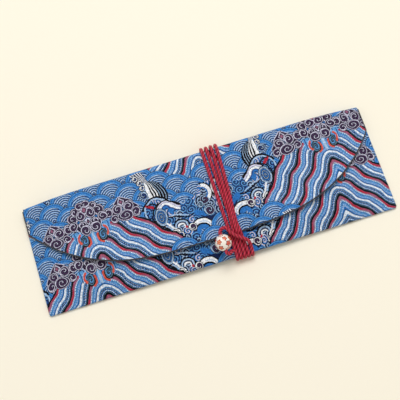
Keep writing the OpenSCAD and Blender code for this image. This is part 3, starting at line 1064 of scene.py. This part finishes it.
# %% The cord's start, and its end from the bead's middle
CORD_START = [(6.2, 4, CORD_D / 2), (6.5, -2, CORD_D / 2), (7.3, -14, CORD_D / 2), (8.2, -28, CORD_D / 2)]
HITCH = [
    (18.3, -7.0, -6.5), (18.1, -5.0, -4.1), (17.2, -3.1, -2.2), (15.2, -1.5, -1.2), (12.7, 0.3, -0.4),
    (10.0, 2.2, 0.3), (7.9, 4.2, 1.1), (6.5, 6.3, 1.6), (5.8, 8.2, 1.6), (4.2, 9.7, 1.3), (2.3, 9.9, 0.8),
    (0.7, 8.9, 0.3), (0, 7.2, 0), (0, 5.4, 0), (0, 0, 0), (0, -5.8, 0), (0.2, -7.3, -0.3),
    (1.1, -8.4, -1.1), (2.5, -8.1, -2.2), (3.9, -7.0, -3.0), (6.6, -6.6, -3.1),
]


# %% Where the turns lie
def turn_x(k, y):
    """Where turn k lies at y, on a straight line from the bottom edge to the crease."""
    low_x, high_x = FIRST_TURN_X + k * TURN_PITCH, FIRST_TURN_X + SLANT + k * TOP_PITCH
    return low_x + (high_x - low_x) * min(max((y - BOTTOM_Y) / (CREASE_Y - BOTTOM_Y), 0), 1)


# How far each turn lies from the first, and how high the third rides on the others, down the front
LIE_Y = (-39.8, -34, -27, -20, -10, 5, 20, 37.5)
LIE_X = (
    (0, 0, 0, 0, 0, 0, 0, 0),
    (2.8, 2.7, 2.7, 3.1, 3.8, 3.9, 3.7, 3.6),
    (5.6, 5.3, 4.9, 4.8, 5.5, 6.2, 6.7, 7.2),
    (8.4, 8.0, 7.4, 6.6, 7.2, 8.9, 9.9, 10.8),
)
LIE_RAISED = (0, 0.2, 1.0, 2.0, 2.0, 1.2, 0.2, 0)


def lie(k, y):
    """Where a turn lies at y, and how far it is raised."""
    x = turn_x(0, y) + float(np.interp(y, LIE_Y, LIE_X[k]))
    return x, float(np.interp(y, LIE_Y, LIE_RAISED)) if k == 2 else 0.0


# %% The turns
def bend_points(x, y, z, r, degrees):
    """Points round the middle of a bend, which lies at x, y and z."""
    return [(x, y + r * math.cos(math.radians(a)), z + r * math.sin(math.radians(a))) for a in degrees]


def round_the_bottom(x):
    """Under the bottom edge, from the back to the front."""
    return bend_points(x, BOTTOM_Y, float(lift(x)) + HEM_R, BOTTOM_R, range(270, 129, -10))


def one_turn(k):
    """Round the bottom, up the front and the flap, over both creases and down the back."""
    x_top, x_next = turn_x(k, CREASE_Y), turn_x(k + 1, BOTTOM_Y)
    crest, foot = float(fold_top_z(x_top)) - CREASE_R, float(lift(x_top)) + CREASE_R
    points = round_the_bottom(turn_x(k, BOTTOM_Y))
    for share in (0.25, 0.5, 0.75):
        y = along(share, BOTTOM_Y, FLAP_TIP_Y)
        x, raised = lie(k, y)
        points.append((x, y, float(front_z(x, y)) + CORD_LIE + CLEARANCE * share + raised))
    for share in (0, 0.1, 0.2, 0.32, 0.45, 0.58, 0.7, 0.85, 1):
        y = along(share, FLAP_TIP_Y, CREASE_Y)
        x, raised = lie(k, y)
        points.append((x, y, float(flap_z(x, y)) + CORD_LIE + CLEARANCE * (1 - share) + raised))
    points += bend_points(x_top, CREASE_Y, crest, TOP_R, range(80, -1, -10))
    points += bend_points(x_top, CREASE_Y, foot, TOP_R, range(0, -91, -10))
    for share in (0.06, 0.25, 0.5, 0.75, 0.94):
        points.append((along(share, x_top, x_next), along(share, CREASE_Y, BOTTOM_Y), CORD_D / 2))
    return points


# %% The whole route
route = list(CORD_START)
for k in range(TURNS):
    route += one_turn(k)
route += round_the_bottom(turn_x(TURNS, BOTTOM_Y))
route += [tuple(bead_middle + np.array(step)) for step in HITCH]
print("the route has", len(route), "points")

# %% Spline
SAMPLES = 24


def spline(points, step):
    """Catmull-Rom curve through the points, centripetal, sampled at an even step."""
    p = np.array(points, float)
    p = np.vstack([2 * p[0] - p[1], p, 2 * p[-1] - p[-2]])
    curve = []
    for i in range(1, len(p) - 2):
        knots = [0.0]
        for j in range(3):
            knots.append(knots[-1] + np.linalg.norm(p[i + j] - p[i + j - 1]) ** 0.5)
        t0, t1, t2, t3 = knots
        t = np.linspace(t1, t2, SAMPLES, endpoint=False)[:, None]
        a1 = (t1 - t) / (t1 - t0) * p[i - 1] + (t - t0) / (t1 - t0) * p[i]
        a2 = (t2 - t) / (t2 - t1) * p[i] + (t - t1) / (t2 - t1) * p[i + 1]
        a3 = (t3 - t) / (t3 - t2) * p[i + 1] + (t - t2) / (t3 - t2) * p[i + 2]
        b1 = (t2 - t) / (t2 - t0) * a1 + (t - t0) / (t2 - t0) * a2
        b2 = (t3 - t) / (t3 - t1) * a2 + (t - t1) / (t3 - t1) * a3
        curve.append((t2 - t) / (t2 - t1) * b1 + (t - t1) / (t2 - t1) * b2)
    curve = np.vstack(curve + [p[-2:-1]])
    run = np.concatenate([[0], np.cumsum(np.linalg.norm(np.diff(curve, axis=0), axis=1))])
    even = np.linspace(0, run[-1], int(run[-1] / step) + 1)
    return np.stack([np.interp(even, run, curve[:, i]) for i in range(3)], 1), run[-1]


cord_line, cord_length = spline(route, CORD_STEP)
print("cord", round(cord_length, 1), "mm in", len(cord_line), "steps")

# %% [markdown]
# A tube is swept along that line. Its section has three lobes that turn as they go, so the plies stand out
# as they do on the real cord, and the UV map runs along and round it.

# %% The cord's section
CORD_SIDES, PLY_PITCH, PLY_DEPTH = 18, 9.0, 0.3


def turning_frame(line):
    """Two directions square to the line at each point, turned as little as possible along it."""
    ahead = np.gradient(line, axis=0)
    ahead /= np.linalg.norm(ahead, axis=1)[:, None]
    side = np.zeros_like(line)
    v = np.array([1.0, 0.0, 0.0])
    for i, direction in enumerate(ahead):
        v = v - direction * (v @ direction)
        v /= np.linalg.norm(v)
        side[i] = v
    return side, np.cross(ahead, side)


def ply_radius(angle):
    """Outline of three round plies laid together, softened by PLY_DEPTH."""
    a = (angle + math.pi / 3) % (2 * math.pi / 3) - math.pi / 3
    middle, r = 0.464, 0.536
    lobes = middle * np.cos(a) + np.sqrt(r * r - (middle * np.sin(a)) ** 2)
    return 1 - PLY_DEPTH * (1 - lobes)


# %% Cord mesh
def swept_cord(name, line, r):
    """A tube of rings along the line, closed at both ends."""
    side, up = turning_frame(line)
    angle = np.arange(CORD_SIDES) * 2 * math.pi / CORD_SIDES
    run = np.arange(len(line)) * CORD_STEP
    radius = r * ply_radius(angle[None, :] - run[:, None] * 2 * math.pi / PLY_PITCH)
    rings = line[:, None, :] + radius[..., None] * (
        side[:, None, :] * np.cos(angle)[None, :, None] + up[:, None, :] * np.sin(angle)[None, :, None]
    )
    n, m = len(line), CORD_SIDES
    verts = np.vstack([rings.reshape(-1, 3), line[:1], line[-1:]]) * MM
    faces, uvs = [], []
    for i in range(n - 1):
        for j in range(m):
            k = (j + 1) % m
            faces.append((i * m + j, i * m + k, (i + 1) * m + k, (i + 1) * m + j))
            uvs += [(run[i], j), (run[i], j + 1), (run[i + 1], j + 1), (run[i + 1], j)]
    for j in range(m):
        k = (j + 1) % m
        faces += [(n * m, k, j), (n * m + 1, (n - 1) * m + j, (n - 1) * m + k)]
        uvs += [(0, j), (0, j), (0, j), (run[-1], j), (run[-1], j), (run[-1], j)]
    mesh = bpy.data.meshes.new(name)
    mesh.from_pydata(verts.tolist(), [], faces)
    layer = mesh.uv_layers.new(name="cord")
    flat = np.array(uvs, np.float32)
    flat[:, 0] *= MM
    flat[:, 1] /= m
    layer.data.foreach_set("uv", flat.ravel())
    obj = bpy.data.objects.new(name, mesh)
    bpy.context.collection.objects.link(obj)
    mesh.shade_smooth()
    return obj


# %% [markdown]
# Twisted rayon has a silky shine, so the cord is glossier than the cloth. The grooves between its plies
# are painted dark as shade, the plies' tops are painted bright as a highlight, and fine fibres run along
# each ply. The fibres are counted round the cord and along a millimetre of it.

# %% Cord material
FIBRES_ROUND, FIBRES_ALONG, FLECK_SIZE = 22, 5.2, 2.5


def cord_silk():
    material, tree, surface = new_material("twisted_rayon")
    place = add_node(tree, "ShaderNodeUVMap", {"uv_map": "cord"})
    parts = add_node(tree, "ShaderNodeSeparateXYZ", inputs={0: place.outputs[0]})
    run, turn = Number(parts.outputs[0]), Number(parts.outputs[1])
    ply = turn - run * (1 / (PLY_PITCH * MM))
    # Painted light: 1 on each ply's top, which gets a painted highlight, and 0 in the grooves, which get
    # painted shade
    ply_highlight_and_groove_shade = (ply * (3 * 2 * math.pi)).math("COSINE") * 0.5 + 0.5
    fibres = ((turn * FIBRES_ROUND + run * (FIBRES_ALONG * TO_MM)) * (2 * math.pi)).math("SINE") * 0.5 + 0.5
    noise = add_node(
        tree, "ShaderNodeTexNoise",
        inputs={"Vector": place.outputs[0], "Scale": TO_MM / FLECK_SIZE, "Detail": 2.0},
    )
    tone = ply_highlight_and_groove_shade * 0.42 + fibres * 0.1 + Number(noise.outputs[0]) * 0.5
    # The ramp's dark end is painted shade in the grooves, and its light end a painted highlight on the ply
    # tops
    ramp = add_node(tree, "ShaderNodeValToRGB", inputs={0: tone})
    stops = ramp.color_ramp.elements
    for i, (position, hex_value) in enumerate(((0.17, "#420112"), (0.5, "#AE0626"), (0.86, "#EA4669"))):
        stop = stops[i] if i < 2 else stops.new(position)
        stop.position, stop.color = position, colour(hex_value)
    bump = add_node(
        tree, "ShaderNodeBump", inputs={"Strength": 0.5, "Distance": 0.15 * MM, "Height": fibres}
    )
    feed(surface, {
        "Base Color": ramp.outputs[0], "Normal": bump.outputs[0],
        "Roughness": 0.3, "Specular IOR Level": 0.32, "Sheen Weight": 0.04,
    })
    print("the cord's material has", len(tree.nodes), "nodes")
    return material


# %% Cord in place
cord = swept_cord("tie_cord", cord_line, CORD_D / 2)
cord.data.materials.append(cord_silk())
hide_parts("cord_winding")
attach(cord, "cord")
print("cord mesh", len(cord.data.vertices), "points")

# %% [markdown]
# ## The bead
# The bead is white china: a ball thrown slightly flat at both ends, with a hole for the cord, painted with
# small red flowers under a clear glaze. A sphere is cut at both ends and the two rims are joined through
# the middle.

# %% Bead
BEAD_FIT, RIM_BEVEL = 0.15, 0.35


def china_bead():
    deselect_all()
    bpy.ops.mesh.primitive_uv_sphere_add(segments=64, ring_count=48, radius=BEAD_D / 2 * MM)
    obj = bpy.context.object
    obj.name = obj.data.name = "china_bead"
    bpy.ops.object.mode_set(mode="EDIT")
    for height, side in ((BEAD_LENGTH / 2, 1), (-BEAD_LENGTH / 2, -1)):
        bpy.ops.mesh.select_all(action="SELECT")
        bpy.ops.mesh.bisect(
            plane_co=(0, 0, height * MM), plane_no=(0, 0, 1), clear_outer=side > 0, clear_inner=side < 0
        )
    bpy.ops.mesh.select_all(action="DESELECT")
    bpy.ops.mesh.select_non_manifold()
    hole_r = CORD_D / 2 + BEAD_FIT
    rim_r = math.sqrt((BEAD_D / 2) ** 2 - (BEAD_LENGTH / 2) ** 2)
    bpy.ops.mesh.extrude_region_move()
    bpy.ops.transform.resize(value=(hole_r / rim_r, hole_r / rim_r, 1))
    bpy.ops.mesh.bridge_edge_loops()
    bpy.ops.mesh.select_all(action="SELECT")
    bpy.ops.mesh.normals_make_consistent(inside=False)
    bpy.ops.object.mode_set(mode="OBJECT")
    apply_modifier(
        obj, "BEVEL", width=RIM_BEVEL * MM, segments=3, limit_method="ANGLE", angle_limit=math.radians(30)
    )
    bpy.ops.object.shade_smooth_by_angle(angle=math.radians(50))
    obj.rotation_euler = (math.pi / 2, 0, 0)
    obj.location = bead_middle * MM
    bpy.ops.object.transform_apply(location=True, rotation=True, scale=True)
    return obj


# %% [markdown]
# Glazed china is smooth and mirrors the room, and the paint lies under the glaze, so one surface with a
# clear coat serves both. Each flower is painted where the bead faces its own direction: five petals, a
# lighter heart and a dark middle.

# %% Bead material
GLAZE_SPOT = 1.1111


def painted_china(flowers):
    """White glaze with flowers, each at an azimuth and height in degrees, with a size and two colours."""
    material, tree, surface = new_material("glazed_china")
    place = add_node(tree, "ShaderNodeTexCoord").outputs["Object"]
    centred = add_node(
        tree, "ShaderNodeVectorMath", {"operation": "SUBTRACT"}, {0: place, 1: tuple(bead_middle * MM)}
    )
    noise = add_node(
        tree, "ShaderNodeTexNoise", inputs={"Vector": place, "Scale": TO_MM / GLAZE_SPOT, "Detail": 2.0}
    )
    result = add_node(
        tree, "ShaderNodeMix", {"data_type": "RGBA"},
        {0: noise.outputs[0], 6: colour("#F6EEE2"), 7: colour("#FDF9F1")},
    ).outputs[2]
    for azimuth, height, size, petal, heart in flowers:
        a, h = math.radians(azimuth), math.radians(height)
        out = np.array([math.cos(h) * math.cos(a), math.cos(h) * math.sin(a), math.sin(h)])
        right = np.array([-math.sin(a), math.cos(a), 0.0])
        up = np.cross(out, right)
        dots = [
            Number(add_node(
                tree, "ShaderNodeVectorMath", {"operation": "DOT_PRODUCT"},
                {0: centred.outputs[0], 1: tuple(v * TO_MM)},
            ).outputs["Value"]) for v in (right, up, out)
        ]
        radius = (dots[0] * dots[0] + dots[1] * dots[1]).math("SQRT")
        angle = dots[1].math("ARCTAN2", dots[0])
        edge = (angle * 5).math("COSINE") * (0.16 * size) + size
        for reach, hex_value in ((edge, petal), (edge * 0.66, heart), (size * 0.24, petal)):
            mask = (radius < reach) * (dots[2] > 0)
            result = add_node(
                tree, "ShaderNodeMix", {"data_type": "RGBA"}, {0: mask, 6: result, 7: colour(hex_value)}
            ).outputs[2]
    feed(surface, {"Base Color": result, "Roughness": 0.12, "Coat Weight": 0.6, "Coat Roughness": 0.05})
    print("the bead's material has", len(tree.nodes), "nodes")
    return material


# %% [markdown]
# The flowers go round the ball by the golden angle, from one pole to the other, which spreads them evenly.

# %% Bead in place
FLOWER_COUNT, FIRST_FLOWER, GOLDEN_ANGLE = 20, 45, 137.5
FLOWER_R, FLOWER_R_STEP = 1.62, 0.16
FLOWER_COLOURS = (
    ("#8E1420", "#F0713E"), ("#B3261E", "#F2925A"), ("#7C1020", "#E8562F"), ("#B02420", "#FBE3D2"),
)
flowers = []
for i in range(FLOWER_COUNT):
    height = math.degrees(math.asin(1 - (2 * i + 1) / FLOWER_COUNT))
    size = FLOWER_R + FLOWER_R_STEP * (i % 3)
    flowers.append((FIRST_FLOWER + GOLDEN_ANGLE * i, height, size, *FLOWER_COLOURS[i % 4]))
bead = china_bead()
bead.data.materials.clear()
bead.data.materials.append(painted_china(flowers))
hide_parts("bead")
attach(bead, "bead")
print("bead", len(bead.data.vertices), "points at", list(bead_middle))

# %% [markdown]
# ## Floor and light
# The pouch lies on a matt cream table top in soft daylight that comes from above and behind. One large lamp
# gives the soft shadow, and the world fills the rest. Light Path lets the world look brighter to the camera
# and in reflections than the light that it gives, so the glaze mirrors a pale room.

# %% Floor
FLOOR_SIZE = 4.0
deselect_all()
bpy.ops.mesh.primitive_plane_add(size=FLOOR_SIZE, location=(0, 0, 0))
floor = bpy.context.object
floor.name = "floor"
floor_paint, _, surface = new_material("cream_table")
feed(surface, {"Base Color": colour("#FBF5E5"), "Roughness": 0.8})
floor.data.materials.append(floor_paint)
print("the floor is", FLOOR_SIZE, "m wide")

# %% Light
LAMP_AT, LAMP_SIZE, LAMP_WATTS = (0.3, 1.0, 2.0), 1.2, 29.6
ROOM_LIGHT, ROOM_SEEN = 0.54, 0.97
bpy.ops.object.light_add(type="AREA", location=LAMP_AT)
lamp = bpy.context.object
lamp.name = "window"
lamp.data.size = LAMP_SIZE
lamp.data.energy = LAMP_WATTS
lamp.rotation_euler = (-lamp.location).to_track_quat("-Z", "Y").to_euler()
world = bpy.data.worlds.new("soft_room")
world.use_nodes = True
bpy.context.scene.world = world
path = add_node(world.node_tree, "ShaderNodeLightPath")
seen = Number(path.outputs["Is Camera Ray"]).math("MAXIMUM", path.outputs["Is Glossy Ray"])
seen = seen.math("MAXIMUM", path.outputs["Is Transmission Ray"])
background = world.node_tree.nodes["Background"]
feed(background, {"Color": colour("#FFFBF2"), "Strength": mix(seen, ROOM_LIGHT, ROOM_SEEN)})
bpy.context.scene.view_settings.view_transform = "Standard"
print("lamp at", LAMP_AT, "with", LAMP_WATTS, "W")
